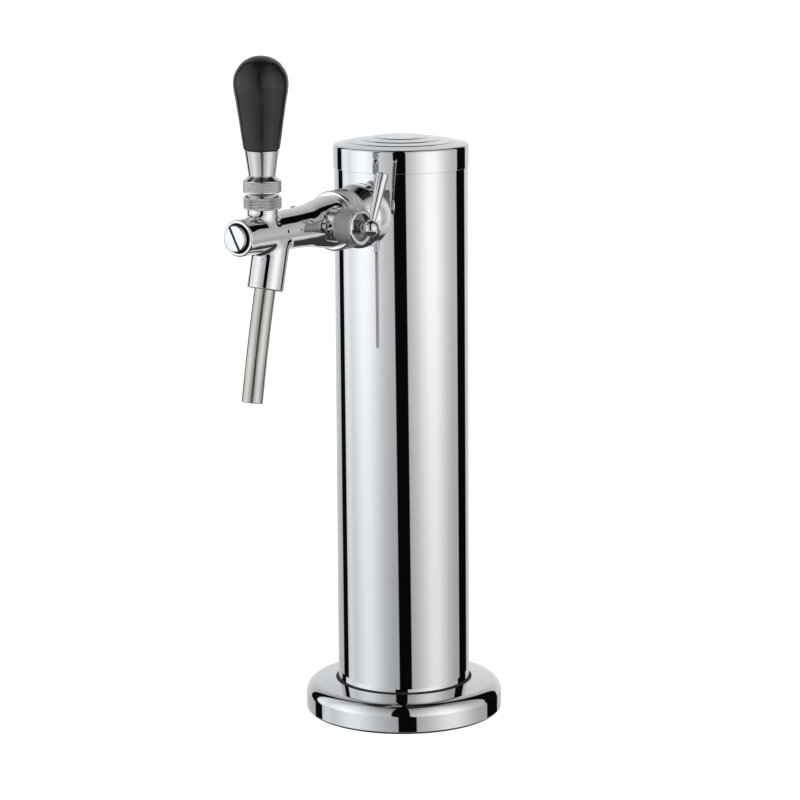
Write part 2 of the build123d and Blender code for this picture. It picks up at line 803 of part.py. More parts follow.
# ---- Write every node ---------------------------------------------------------------
NODES = (
    base_gasket,
    mounting_plate,
    flange_screws,
    base_flange,
    column_seal_ring,
    column_tube,
    column_cap,
    cap_seal_ring,
    shank_tube,
    shank_gasket,
    saddle_flange,
    inner_saddle_washer,
    shank_lock_nut,
    tailpiece_washer,
    tailpiece_elbow,
    tailpiece_nut,
    coupling_nut,
    coupling_washer,
    tap_body,
    guide_screw,
    front_plug,
    front_plug_seal,
    piston_shaft,
    seat_washer,
    seat_washer_nut,
    ball_seat_ring,
    bonnet_washer,
    bonnet_nut,
    lever,
    lock_ring,
    handle_ferrule,
    handle_stud,
    handle_grip,
    spout_tube,
    spout_seal,
    compensator_cone,
    compensator_spindle,
    spindle_o_rings,
    compensator_collar,
    compensator_nut,
    compensator_washer,
    compensator_hub,
    hub_screw,
    compensator_lever,
)

os.makedirs("parts", exist_ok=True)
for node in NODES:
    keep(node.__name__, node())
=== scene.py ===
import itertools
import json
import math

import bpy
import numpy as np
from mathutils import Matrix, Vector


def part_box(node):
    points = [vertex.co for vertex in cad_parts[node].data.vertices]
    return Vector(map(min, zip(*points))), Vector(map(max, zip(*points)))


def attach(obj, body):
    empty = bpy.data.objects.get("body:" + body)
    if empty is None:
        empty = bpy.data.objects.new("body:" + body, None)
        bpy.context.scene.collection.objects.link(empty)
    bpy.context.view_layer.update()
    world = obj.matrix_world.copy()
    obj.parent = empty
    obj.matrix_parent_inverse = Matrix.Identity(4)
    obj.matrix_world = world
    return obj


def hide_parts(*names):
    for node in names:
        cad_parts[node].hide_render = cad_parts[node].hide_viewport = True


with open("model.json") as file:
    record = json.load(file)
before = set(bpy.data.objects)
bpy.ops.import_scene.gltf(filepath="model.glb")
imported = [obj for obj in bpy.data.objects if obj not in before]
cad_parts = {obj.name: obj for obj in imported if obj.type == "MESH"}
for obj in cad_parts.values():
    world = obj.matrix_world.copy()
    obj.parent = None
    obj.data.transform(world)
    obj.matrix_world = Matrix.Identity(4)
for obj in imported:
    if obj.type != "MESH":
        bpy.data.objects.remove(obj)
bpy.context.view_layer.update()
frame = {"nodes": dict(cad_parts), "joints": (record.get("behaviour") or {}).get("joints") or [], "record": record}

# Beer tap tower. Outlines are in millimetres, as (radius, distance along the part's own axis) and,
# where a corner is not rounded by EDGE, its own rounding. Every Blender object is in metres, in the
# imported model's frame.
MM = 0.001
TINY = 1e-6
RINGS = 192
EDGE = 0.15


# ---- Places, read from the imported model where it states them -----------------
def corners(node):
    """Lowest and highest corner of a CAD node, in millimetres."""
    low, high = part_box(node)
    return low / MM, high / MM


def centre(node):
    low, high = corners(node)
    return (low + high) / 2


JOINTS = {joint["name"]: joint for joint in frame["joints"]}
TAP_Z = centre("front_plug").z
PIVOT = Vector(JOINTS["handle_pull"]["pos_m"]) / MM
COMP_T = -centre("compensator_nut").y
COLUMN_R = corners("column_tube")[1].x
COLUMN_WALL = 1.5
SPOUT_AXIS_T = 113.9
SPOUT_TILT = 13.7
LEVER_LEAN = 21.5
HUB_X = 34.2


def turned_to(origin, angle=0.0, axis="X"):
    """Frame of a part: local Z is the part's own axis."""
    return Matrix.Translation(origin) @ Matrix.Rotation(math.radians(angle), 4, axis)


UPRIGHT = turned_to((0, 0, 0))
ALONG_TAP = turned_to((0, 0, TAP_Z), 90)
ACROSS_TAP = turned_to((0, -COMP_T, TAP_Z), 90, "Y")
ON_PIVOT = turned_to((0, PIVOT.y, 0))
DOWN_SPOUT = turned_to((0, -SPOUT_AXIS_T, TAP_Z), 180 - SPOUT_TILT)
UP_LEVER = turned_to((HUB_X, -COMP_T, TAP_Z), -LEVER_LEAN)
SIDEWAYS = Matrix.Rotation(math.radians(90), 4, "Y")


# ---- Mesh tools --------------------------------------------------------------
def in_scene(name, data):
    """New object that shows some data."""
    thing = bpy.data.objects.new(name, data)
    bpy.context.scene.collection.objects.link(thing)
    return thing


def make_object(name, points, faces, place=UPRIGHT, normals=None):
    """Object from millimetre points in a part's frame, shaded by the given normals."""
    turn = np.array(place.to_3x3())
    world = (np.asarray(points) @ turn.T + np.array(place.translation)) * MM
    mesh = bpy.data.meshes.new(name)
    mesh.from_pydata(world.tolist(), [], faces)
    mesh.shade_smooth()
    if normals is not None:
        mesh.normals_split_custom_set_from_vertices((np.asarray(normals) @ turn.T).tolist())
    return in_scene(name, mesh)


def unit(vectors):
    lengths = np.linalg.norm(vectors, axis=-1, keepdims=True)
    return vectors / np.maximum(lengths, 1e-12)


def rounded(outline, closed=True):
    """Points and outward normals of an anticlockwise outline with rounded corners."""
    spots = [np.array(p[:2], float) for p in outline]
    radii = [p[2] if len(p) == 3 else EDGE for p in outline]
    points, normals = [], []
    count = len(spots)
    turn_step, longest_reach = 9.0, 0.45
    for i, (spot, radius) in enumerate(zip(spots, radii)):
        if not closed and i in (0, count - 1):
            points.append(spot)
            normals.append(np.array([0.0, -1.0 if i == 0 else 1.0]))
            continue
        before, after = spots[i - 1] - spot, spots[(i + 1) % count] - spot
        a, b = unit(before), unit(after)
        bend = math.acos(max(-1.0, min(1.0, -float(a @ b))))
        reach = radius * math.tan(bend / 2)
        limit = longest_reach * min(np.linalg.norm(before), np.linalg.norm(after))
        if reach > limit:
            radius *= limit / reach
            reach = limit
        normal_in = np.array([-a[1], a[0]])
        normal_out = np.array([b[1], -b[0]])
        side = 1.0 if -a[0] * b[1] + a[1] * b[0] > 0 else -1.0
        middle = spot + a * reach - normal_in * radius * side
        steps = max(2, math.ceil(math.degrees(bend) / turn_step))
        for k in range(steps + 1):
            normal = unit(normal_in * (1 - k / steps) + normal_out * (k / steps))
            points.append(middle + normal * radius * side)
            normals.append(normal)
    return np.array(points), np.array(normals)


def hermite(where, values, slopes, at):
    """Smooth curve through values with the given slopes, read at the given places."""
    i = np.clip(np.searchsorted(where, at, side="right") - 1, 0, len(where) - 2)
    gap = where[i + 1] - where[i]
    u = np.clip((at - where[i]) / gap, 0.0, 1.0)
    if values.ndim > 1:
        gap, u = gap[:, None], u[:, None]
    return (
        (2 * u**3 - 3 * u**2 + 1) * values[i]
        + (u**3 - 2 * u**2 + u) * gap * slopes[i]
        + (3 * u**2 - 2 * u**3) * values[i + 1]
        + (u**3 - u**2) * gap * slopes[i + 1]
    )


def smooth_curve(knots, steps):
    """Dense points and outward normals of a soft outline through its knots."""
    knots = np.array(knots, float)
    chord = np.linalg.norm(np.diff(knots, axis=0), axis=1)
    where = np.concatenate([[0.0], np.cumsum(np.sqrt(chord))])
    at = np.linspace(0.0, where[-1], steps)
    points = hermite(where, knots, np.gradient(knots, where, axis=0), at)
    tangents = unit(np.gradient(points, at, axis=0))
    return points, np.stack([tangents[:, 1], -tangents[:, 0]], axis=1)


def ring_faces(rows, segments, closed):
    """Quads between neighbouring rings; rows are (first index, point count) pairs."""
    faces = []
    pairs = list(zip(rows, rows[1:]))
    if closed:
        pairs.append((rows[-1], rows[0]))
    for (low, low_count), (high, high_count) in pairs:
        for j in range(segments):
            k = (j + 1) % segments
            if low_count == 1:
                faces.append((low, high + k, high + j))
            elif high_count == 1:
                faces.append((low + j, low + k, high))
            else:
                faces.append((low + j, low + k, high + k, high + j))
    return faces


def lathe(name, outline, place=UPRIGHT, segments=RINGS, curve=None):
    """Turned part from an outline, or from a curve's points and normals.

    An outline that starts and ends on the axis makes a solid.
    """
    points, normals = curve or rounded(outline, closed=outline[0][0] != 0)
    angles = np.arange(segments) * 2 * math.pi / segments
    spots, directions, rows = [], [], []
    for (radius, height), (out, up) in zip(points, normals):
        count = segments if radius > TINY else 1
        rows.append((len(spots), count))
        for angle in angles[:count]:
            c, s = math.cos(angle), math.sin(angle)
            spots.append((radius * c, radius * s, height))
            directions.append((out * c, out * s, up) if count > 1 else (0, 0, math.copysign(1, up)))
    closed = points[0][0] > TINY and points[-1][0] > TINY
    return make_object(name, spots, ring_faces(rows, segments, closed), place, directions)


def knurled(name, outline, place, band, count, depth=0.32, step=0.17, cells=6):
    """Turned part with a diamond knurl cut into the outer wall between two heights."""
    points, _ = rounded(outline)
    run_out, widen, sharpen = 0.3, 1.15, 1.5
    dense = []
    for here, there in zip(points, np.roll(points, -1, axis=0)):
        upright = abs(here[0] - there[0]) < TINY
        pieces = max(1, math.ceil(abs(there[1] - here[1]) / step)) if upright else 1
        if here[0] < points[:, 0].max() - TINY:
            pieces = 1
        dense += [here + (there - here) * k / pieces for k in range(pieces)]
    segments = count * cells
    angles = np.arange(segments) * 2 * math.pi / segments
    outer = max(p[0] for p in dense)
    pitch = 2 * math.pi * outer / count
    spots, rows, grooves = [], [], []
    for radius, height in dense:
        rows.append((len(spots), segments))
        inside = min((height - band[0]) / run_out, (band[1] - height) / run_out, 1.0)
        mask = max(0.0, inside) if radius > outer - 1e-3 else 0.0
        around, along = angles * count / (2 * math.pi), height / pitch
        ridge = [np.abs(2 * np.mod(around + side * along, 1.0) - 1) for side in (1, -1)]
        groove = np.minimum(np.maximum(*ridge) * widen, 1.0) ** sharpen * mask
        reach = radius - depth * groove
        level = np.full(segments, height)
        spots += np.stack([reach * np.cos(angles), reach * np.sin(angles), level], 1).tolist()
        # The groove depth is also kept as the mask of shade painted into the grooves.
        grooves += groove.tolist()
    piece = make_object(name, spots, ring_faces(rows, segments, True), place)
    return store_painted_shade(piece, grooves)


def store_painted_shade(piece, values):
    """Stores how deep in a groove or recess each point of a piece lies, 0 to 1: the mask of painted shade."""
    layers = piece.data.attributes
    layer = layers.get("groove") or layers.new("groove", "FLOAT", "POINT")
    layer.data.foreach_set("value", values)
    return piece


def local_points(piece, place):
    """Points of a piece in millimetres, in the part's frame."""
    back = place.inverted()
    return np.array([back @ (v.co / MM) for v in piece.data.vertices])


def block(size, place):
    """Corner points and faces of a cutter, in the part's frame."""
    half = Vector(size) / 2
    signs = itertools.product((-1, 1), repeat=3)
    spots = [place @ Vector((x * half.x, y * half.y, z * half.z)) for x, y, z in signs]
    faces = [(0, 1, 3, 2), (4, 6, 7, 5), (0, 4, 5, 1), (2, 3, 7, 6), (0, 2, 6, 4), (1, 5, 7, 3)]
    return spots, faces


def drill(radius, length, place, sides=28):
    """Round cutter along its local Z."""
    spots = [
        place @ Vector((radius * math.cos(a), radius * math.sin(a), end * length / 2))
        for end in (-1, 1)
        for a in (2 * math.pi * k / sides for k in range(sides))
    ]
    faces = [tuple(reversed(range(sides))), tuple(range(sides, 2 * sides))]
    faces += [(k, (k + 1) % sides, (k + 1) % sides + sides, k + sides) for k in range(sides)]
    return spots, faces


def spoke(angle, radius, height=0.0):
    """Place at a radius and an angle round the part's axis, with local X pointing outwards."""
    return Matrix.Rotation(math.radians(angle), 4, "Z") @ Matrix.Translation((radius, 0, height))


def carve(piece, cutters, place, sharp=32.0):
    """Cuts the given shapes out of a piece and keeps the new edges crisp."""
    spots, faces = [], []
    for points, sides in cutters:
        faces += [tuple(i + len(spots) for i in side) for side in sides]
        spots += [tuple(p) for p in points]
    tool = make_object("cutter", spots, faces, place)
    cut = piece.modifiers.new("cut", "BOOLEAN")
    cut.object = tool
    cut.operation = "DIFFERENCE"
    cut.solver = "EXACT"
    bake(piece)
    bpy.data.objects.remove(tool)
    piece.data.set_sharp_from_angle(angle=math.radians(sharp))
    return piece


def bake(piece):
    """Applies a piece's modifiers."""
    bpy.context.view_layer.update()
    solved = piece.evaluated_get(bpy.context.evaluated_depsgraph_get())
    mesh = bpy.data.meshes.new_from_object(solved)
    piece.modifiers.clear()
    old = piece.data
    piece.data = mesh
    mesh.name = old.name + "_mesh"
    bpy.data.meshes.remove(old)


def soften(piece, width, sharp=32.0):
    """Small bevel on the sharp edges, with normals that keep the flat faces flat."""
    bevel = piece.modifiers.new("edges", "BEVEL")
    bevel.width = width * MM
    bevel.segments = 2
    bevel.limit_method = "ANGLE"
    bevel.angle_limit = math.radians(sharp)
    weigh = piece.modifiers.new("normals", "WEIGHTED_NORMAL")
    weigh.keep_sharp = True
    bake(piece)
    return piece


# ---- Materials ---------------------------------------------------------------
class Nodes:
    """Node tree of a material or a world."""

    def __init__(self, owner):
        owner.use_nodes = True
        self.tree = owner.node_tree
        self.tree.nodes.clear()

    def add(self, kind, **values):
        node = self.tree.nodes.new(kind)
        for key, value in values.items():
            setattr(node, key, value)
        return node

    def link(self, source, target):
        self.tree.links.new(source, target)


class Finish(Nodes):
    """Material with a principled shader, and helpers for noise in its roughness and a fine bump."""

    def __init__(self, name, colour, metallic, roughness, specular=0.5):
        self.material = bpy.data.materials.new(name)
        super().__init__(self.material)
        output = self.add("ShaderNodeOutputMaterial")
        self.shader = self.add("ShaderNodeBsdfPrincipled")
        self.set("Base Color", (*colour, 1.0))
        self.set("Metallic", metallic)
        self.set("Roughness", roughness)
        self.set("Specular IOR Level", specular)
        self.link(self.shader.outputs["BSDF"], output.inputs["Surface"])
        self.place = self.add("ShaderNodeTexCoord").outputs["Object"]

    def set(self, socket, value):
        self.shader.inputs[socket].default_value = value

    def noise(self, scale, detail=2.0, stretch=(1, 1, 1)):
        """Noise with so many bumps to the metre, drawn out along an axis."""
        shift = self.add("ShaderNodeMapping")
        shift.inputs["Scale"].default_value = stretch
        self.link(self.place, shift.inputs["Vector"])
        noise = self.add("ShaderNodeTexNoise")
        noise.inputs["Scale"].default_value = scale
        noise.inputs["Detail"].default_value = detail
        self.link(shift.outputs["Vector"], noise.inputs["Vector"])
        return noise.outputs["Fac"]

    def ranged(self, source, low, high, start=0.3, end=0.7):
        """Turns a noise value into a range of another value."""
        remap = self.add("ShaderNodeMapRange")
        remap.inputs["From Min"].default_value = start
        remap.inputs["From Max"].default_value = end
        remap.inputs["To Min"].default_value = low
        remap.inputs["To Max"].default_value = high
        self.link(source, remap.inputs["Value"])
        return remap.outputs["Result"]

    def rough(self, source, low, high, start=0.3, end=0.7):
        self.link(self.ranged(source, low, high, start, end), self.shader.inputs["Roughness"])
        return self

    def tint(self, source, low, high, start=0.3, end=0.7):
        """Colour that drifts between two tones."""
        blend = self.add("ShaderNodeMix", data_type="RGBA")
        blend.inputs["A"].default_value = (*low, 1.0)
        blend.inputs["B"].default_value = (*high, 1.0)
        self.link(self.ranged(source, 0.0, 1.0, start, end), blend.inputs["Factor"])
        self.link(blend.outputs["Result"], self.shader.inputs["Base Color"])
        return self

    def darken_grooves(self, tip, bottom, start=0.0):
        """Painted shade: colour that darkens with the groove depth stored on the piece's points."""
        groove = self.add("ShaderNodeAttribute", attribute_name="groove").outputs["Fac"]
        return self.tint(groove, tip, bottom, start, 1.0)

    def bump(self, *layers):
        """Bump from (noise, height in metres) layers, one on top of the other."""
        below = None
        for source, height in layers:
            bump = self.add("ShaderNodeBump")
            bump.inputs["Strength"].default_value = 1.0
            bump.inputs["Distance"].default_value = height
            self.link(source, bump.inputs["Height"])
            if below is not None:
                self.link(below, bump.inputs["Normal"])
            below = bump.outputs["Normal"]
        self.link(below, self.shader.inputs["Normal"])
        return self


def chrome(name, wave, low=0.012, high=0.05, grooved=False):
    """Polished plating: slow ripples, faint wipe marks and handling smudges."""
    colour, painted_shade_colour, hair_height = (0.80, 0.805, 0.815), (0.05, 0.05, 0.05), 0.0000004
    finish = Finish(name, colour, 1.0, low)
    # Painted shade: recesses such as the vent hole and the plug's slot darkened to near black.
    if grooved:
        finish.darken_grooves(colour, painted_shade_colour)
    smudge = finish.noise(38, 4)
    ripple = finish.noise(22, 1, (1, 1, 0.35))
    hair = finish.noise(900, 2, (1, 1, 0.06))
    finish.rough(smudge, low, high, 0.45, 0.75)
    return finish.bump((ripple, wave), (hair, hair_height)).material


def knurl_chrome():
    """Plated knurl, bright on its tips, with shade painted into the bottom of its grooves."""
    finish = Finish("knurled_chrome", (0.9, 0.9, 0.91), 1.0, 0.14)
    finish.darken_grooves((0.93, 0.93, 0.93), (0.30, 0.30, 0.31), 0.35)
    finish.rough(finish.noise(260, 3), 0.09, 0.2)
    return finish.bump((finish.noise(2600, 2), 0.000006)).material


def satin_steel(name, colour, darker, low, high, grain):
    """Stainless with a fine brushed grain along one axis and slow changes of tone."""
    finish = Finish(name, colour, 1.0, low)
    finish.tint(finish.noise(60, 3), darker, colour)
    finish.rough(finish.noise(180, 4, grain), low, high)
    return finish.bump((finish.noise(1500, 3, grain), 0.0000035)).material


def matt_metal(name, colour, darker, low, high, scale=300, height=0.00001):
    """Plain machined or plated metal."""
    finish = Finish(name, colour, 1.0, low)
    finish.tint(finish.noise(scale / 4, 3), darker, colour)
    finish.rough(finish.noise(scale, 3), low, high)
    return finish.bump((finish.noise(scale * 6, 2), height)).material


def moulded(name, colour, lighter, low, high, scale=400, height=0.000006, specular=0.5):
    """Moulded plastic or rubber: fine grain, slight change of tone and gloss."""
    finish = Finish(name, colour, 0.0, low, specular)
    finish.tint(finish.noise(scale / 6, 3), colour, lighter)
    finish.rough(finish.noise(scale / 4, 3), low, high)
    return finish.bump((finish.noise(scale * 5, 2), height)).material


def make_materials():
    """One material for each slot of the record, and two looks of the tap's plating with shade painted into grooves
    and recesses.
    """
    steel_grain = (1, 1, 0.04)
    return {
        "column_chrome": chrome("column_mirror", 0.000016),
        "flange_chrome": chrome("flange_mirror", 0.000012),
        "tap_chrome": chrome("tap_mirror", 0.000008, 0.03, 0.07),
        "grooved": chrome("tap_mirror_grooved", 0.000008, 0.03, 0.07, grooved=True),
        "knurl": knurl_chrome(),
        "stainless": satin_steel(
            "spout_steel", (0.66, 0.635, 0.60), (0.58, 0.56, 0.53), 0.16, 0.26, steel_grain
        ),
        "plated_steel": matt_metal("zinc_plate", (0.62, 0.63, 0.62), (0.5, 0.5, 0.48), 0.3, 0.48),
        "brass": matt_metal("turned_brass", (0.78, 0.58, 0.28), (0.66, 0.47, 0.21), 0.22, 0.38),
        "rubber": moulded("black_rubber", (0.012, 0.012, 0.013), (0.022, 0.022, 0.023), 0.55, 0.75),
        "white_nylon": moulded("white_nylon", (0.74, 0.73, 0.70), (0.8, 0.79, 0.77), 0.4, 0.55),
        "black_grip": moulded(
            "grip_plastic", (0.010, 0.010, 0.011), (0.016, 0.016, 0.017), 0.19, 0.25, 500, 0.000003
        ),
    }


MATERIALS = make_materials()


def fit(piece, body, slot, *nodes, look=None):
    """Finishes a piece: its body, the CAD nodes it stands for, and the material of its slot or look."""
    piece.data.materials.clear()
    piece.data.materials.append(MATERIALS[look or slot])
    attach(piece, body)
    if nodes:
        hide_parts(*nodes)
    return piece


# ---- Base, column and cap ----------------------------------------------------
def base_flange_shell():
    """Hollow flange: straight side, round edge, sloped top, open underneath."""
    low, high = corners("base_flange")
    radius, hub, bore = high.x, COLUMN_R + 1.3, COLUMN_R + 0.05
    edge, edge_round, lip, seat, wall = 16.2, 7.0, 1.0, 10.0, 2.5
    outline = [
        (radius, low.z, 0.5), (radius, edge, edge_round), (hub, high.z, 0.3),
        (hub, high.z - lip, 0.1), (bore, high.z - lip, 0.1), (bore, seat, 0.1),
        (COLUMN_R + wall, seat), (COLUMN_R + wall, edge - 1.5, 0.6),
        (radius - wall, edge - 2.5, edge_round - wall), (radius - wall, low.z),
    ]
    shell = lathe("base_flange_shell", outline, segments=288)
    return fit(shell, "tower", "flange_chrome", "base_flange")


def column_skin():
    """Column tube with the round hole that the tap's shank goes through."""
    low, high = corners("column_tube")
    hole, window, end = 11.3, 15.0, 0.3
    turns, columns = 240, 32
    step = 2 * math.pi / turns
    half = columns // 2
    heights = [low.z, low.z + end, *np.linspace(30, 270, 7), TAP_Z - window]
    heights += list(np.linspace(TAP_Z - window, TAP_Z + window, columns + 1))[1:]
    heights += [high.z - end, high.z]
    first = heights.index(TAP_Z - window)
    last = first + columns
    front = -math.pi / 2
    spots, normals, faces = [], [], []

    def skin(radius, sign):
        """One wall of the tube: a grid with a square left open, closed to the round hole."""
        start = len(spots)
        stretch = window / radius / (half * step)
        angles = []
        for j in range(turns):
            turn = (j + half) % turns - half
            if abs(turn) <= half:
                angle = turn * step * stretch
            else:
                rest = math.pi - half * step * stretch
                share = (abs(turn) - half) / (turns / 2 - half)
                angle = math.copysign(half * step * stretch + share * rest, turn)
            angles.append(front + angle)
        for z in heights:
            for angle in angles:
                spots.append((radius * math.cos(angle), radius * math.sin(angle), z))
                normals.append((sign * math.cos(angle), sign * math.sin(angle), 0))
        for i in range(len(heights) - 1):
            for j in range(turns):
                turn = (j + half) % turns - half
                if first <= i < last and -half <= turn < half:
                    continue
                k = (j + 1) % turns
                quad = [start + i * turns + j, start + i * turns + k]
                quad += [start + (i + 1) * turns + k, start + (i + 1) * turns + j]
                faces.append(tuple(quad if sign > 0 else quad[::-1]))
        border = [(first, t) for t in range(-half, half)]
        border += [(i, half) for i in range(first, last)]
        border += [(last, t) for t in range(half, -half, -1)]
        border += [(i, -half) for i in range(last, first, -1)]
        rim = []
        for i, turn in border:
            edge = start + i * turns + turn % turns
            across = (angles[turn % turns] - front) * radius
            around = math.atan2(heights[i] - TAP_Z, across)
            x = hole * math.cos(around)
            z = TAP_Z + hole * math.sin(around)
            y = -math.sqrt(radius**2 - x**2)
            rim.append((edge, len(spots)))
            spots.append((x, y, z))
            normals.append((sign * x / radius, sign * y / radius, 0))
        for (edge, inner), (next_edge, next_inner) in zip(rim, rim[1:] + rim[:1]):
            quad = (edge, next_edge, next_inner, inner)
            faces.append(quad if sign > 0 else quad[::-1])
        return start, [inner for _, inner in rim]

    outer, outer_rim = skin(COLUMN_R, 1)
    inner, inner_rim = skin(COLUMN_R - COLUMN_WALL, -1)
    for a, b, c, d in zip(
        outer_rim, outer_rim[1:] + outer_rim[:1], inner_rim[1:] + inner_rim[:1], inner_rim
    ):
        faces.append((a, b, c, d))
    top = (len(heights) - 1) * turns
    for j in range(turns):
        k = (j + 1) % turns
        faces.append((outer + k, outer + j, inner + j, inner + k))
        faces.append((outer + top + j, outer + top + k, inner + top + k, inner + top + j))
    piece = make_object("column_skin", spots, faces, UPRIGHT, normals)
    return fit(piece, "tower", "column_chrome", "column_tube")


def cap_shell():
    """Push-on cap: skirt, rounded edge and three low steps on the crown."""
    low, high = corners("column_cap")
    edge, seat, wall = 325.4, 322.0, 2.0
    inner, bore = COLUMN_R - COLUMN_WALL, COLUMN_R + 0.1
    crown_steps = ((30.5, 326.8), (23.1, 327.9), (15.5, 329.1))
    rise, run = 0.45, 0.6
    outline = [
        (0, high.z - wall), (crown_steps[0][0], crown_steps[0][1] - wall), (inner, seat + 1.0),
        (inner, seat), (bore, seat), (bore, low.z, 0.1), (high.x, low.z, 0.3),
        (high.x, edge, 1.6),
    ]
    for radius, height in crown_steps:
        outline.append((radius, height, 0.6))
        outline.append((radius - run, height + rise, 0.5))
    outline.append((0, high.z))
    return fit(lathe("cap_shell", outline, segments=256), "cap", "flange_chrome", "column_cap")


# ---- Shank, saddle and coupling ----------------------------------------------
def saddle_collar():
    """Smooth collar between the column and the nut; its back follows the column."""
    radius, neck, bore = 17.8, 14.0, 11.05
    back, front, clear = 30.0, 51.4, COLUMN_R + 0.6
    outline = [
        (bore, back, 0.0), (radius, back, 0.0), (radius, 42.5, 5.0),
        (neck, front - 3.0, 6.0), (neck, front, 0.5), (bore, front, 0.1),
    ]
    points, directions = rounded(outline)
    spots, normals, rows = [], [], []
    for (r, t), (out, up) in zip(points, directions):
        rows.append((len(spots), RINGS))
        for j in range(RINGS):
            angle = 2 * math.pi * j / RINGS
            c, s = math.cos(angle), math.sin(angle)
            skin = math.sqrt(clear**2 - (r * c) ** 2)
            spots.append((r * c, r * s, max(t, skin)))
            normals.append((out * c, out * s, up))
    piece = make_object("saddle_collar", spots, ring_faces(rows, RINGS, True), ALONG_TAP, normals)
    return fit(piece, "tower", "tap_chrome", "saddle_flange")


def coupling_nut_knurled():
    """Round nut with a diamond knurl and six holes for a pin spanner."""
    front, back = corners("coupling_nut")
    low, high, radius = -back.y, -front.y, back.x
    bore, mouth, hollow = 11.05, 11.7, 13.1
    shoulder, hollow_end = 58.6, 61.95
    outline = [
        (bore, low), (radius, low, 0.6), (radius, high, 1.3), (mouth, high),
        (mouth, hollow_end), (hollow, hollow_end), (hollow, shoulder), (bore, shoulder),
    ]
    nut = knurled("coupling_nut_knurled", outline, ALONG_TAP, (low + 0.7, high - 1.5), 90)
    holes = [drill(1.5, 5, spoke(20 + 60 * k, radius, 55.1) @ SIDEWAYS) for k in range(6)]
    return fit(carve(nut, holes, ALONG_TAP), "tower", "tap_chrome", "coupling_nut", look="knurl")


# ---- Tap body ----------------------------------------------------------------
BARREL = (
    (14.3, 64.3), (14.3, 67.5), (13.6, 73.0), (12.6, 79.0), (11.6, 85.0), (11.1, 93.0),
    (10.7, 106.0), (10.3, 120.0), (10.0, 132.0), (9.8, 140.0), (9.8, 143.5),
)
BACK, FRONT = BARREL[0][1], BARREL[-1][1]
# Bores along the tap, as (radius, from, to): valve chamber, throat, piston guide, plug chamber,
# plug thread and the recess round the plug's head.
BORES = (
    (6.8, 50.0, 84.0), (5.7, 80.0, 100.0), (3.6, 99.0, 104.0), (5.4, 103.2, 133.0),
    (6.0, 132.0, 140.0), (8.0, 139.0, 150.0),
)
BALL_R = 5.65
PULL = math.tan(math.radians(30))
VENT = (113.5, 1.0)
VENT_R = 0.7
CELL = 0.42


def join(a, b, blend):
    """Union of two distance fields with a soft fillet between them."""
    h = np.clip(0.5 + 0.5 * (b - a) / blend, 0.0, 1.0)
    return b * (1 - h) + a * h - blend * h * (1 - h)


def cut(a, b, blend=0.25):
    """Distance field a without b, with the new edge slightly rounded."""
    return -join(-a, b, blend)


def barrel_radius(t):
    """Radius of the barrel along the tap, through its design points."""
    radius, where = np.array(BARREL).T
    slope = np.gradient(radius, where)
    slope[[0, 1, -1, -2]] = 0.0
    return hermite(where, radius, slope, t)


def stub(across, along, radius, low, high, blend=0.3):
    """Distance field of a cylinder, from distances across and along its axis."""
    ends = np.maximum(low - along, along - high)
    return -join(-(across - radius), -ends, blend)


def casting_field(x, t, z):
    """Distance to the tap body; x across, t along the tap, z above its axis."""
    across = np.hypot(x, z)
    wall = (across - barrel_radius(t)) * 0.97
    body = -join(-wall, -np.maximum(BACK - t, t - FRONT), 0.9)
    # Tail and its rim, inside the coupling nut.
    body = np.minimum(body, stub(across, t, 11.4, 60.0, 66.0))
    body = np.minimum(body, stub(across, t, 12.9, 60.0, 61.9))
    # Neck of the handle.
    off_pivot = np.hypot(x, t + PIVOT.y)
    body = join(body, stub(off_pivot, z, 8.2, 0.0, 16.6), 2.2)
    # Boss of the spout, narrower where it meets the barrel.
    lean = math.radians(SPOUT_TILT)
    forward = t - SPOUT_AXIS_T
    down = forward * math.sin(lean) - z * math.cos(lean)
    off_spout = np.hypot(x, forward * math.cos(lean) + z * math.sin(lean))
    width = 9.9 - 0.1 * np.clip(down / 31, 0, 1) - 0.06 * np.clip(7.0 - down, 0.0, 11.0) ** 2
    boss = stub(off_spout, down, width, -3.0, 31.0, 1.0)
    body = join(body, boss, 2.5)
    # Spot face and threaded neck of the compensator, on the side.
    off_comp = np.hypot(t - COMP_T, z)
    body = cut(body, stub(off_comp, x, 9.9, 9.5, 40.0), 0.35)
    body = np.minimum(body, stub(off_comp, x, 8.0, 6.0, 23.5))
    for radius, low, high in BORES:
        body = cut(body, stub(across, t, radius, low, high))
    # Bores of the compensator, the spout's passage and the spout's socket.
    body = cut(body, stub(off_comp, x, 5.2, 5.5, 40.0))
    body = cut(body, stub(off_spout, down, 4.6, 0.0, 25.0))
    body = cut(body, stub(off_spout, down, 5.8, 20.0, 40.0))
    # Socket of the lever's ball, and the slot below it that the lever's tip swings in.
    body = cut(body, stub(off_pivot, z, BALL_R, 10.6, 30.0))
    ball = np.sqrt(off_pivot**2 + (z - PIVOT.z + TAP_Z) ** 2) - BALL_R
    body = cut(body, ball)
    rise = PIVOT.z - TAP_Z - z
    swing = np.abs(t + PIVOT.y + 0.5 * rise * PULL)
    slot = np.maximum(np.abs(x) - 2.4, swing - 0.5 * np.abs(rise) * PULL - 2.7)
    body = cut(body, np.maximum(slot, np.maximum(-z, z - 10.7)))
    vent = np.hypot(t - VENT[0], z - VENT[1]) - VENT_R
    return cut(body, np.maximum(vent, 8.0 - x), 0.15)


def cells_round(edges, axis):
    """The four cells that share each edge of a grid along an axis, in order round it."""
    u, v = (axis + 1) % 3, (axis + 2) % 3
    for du, dv in ((1, 1), (0, 1), (0, 0), (1, 0)):
        cells = edges.copy()
        cells[:, u] -= du
        cells[:, v] -= dv
        yield cells


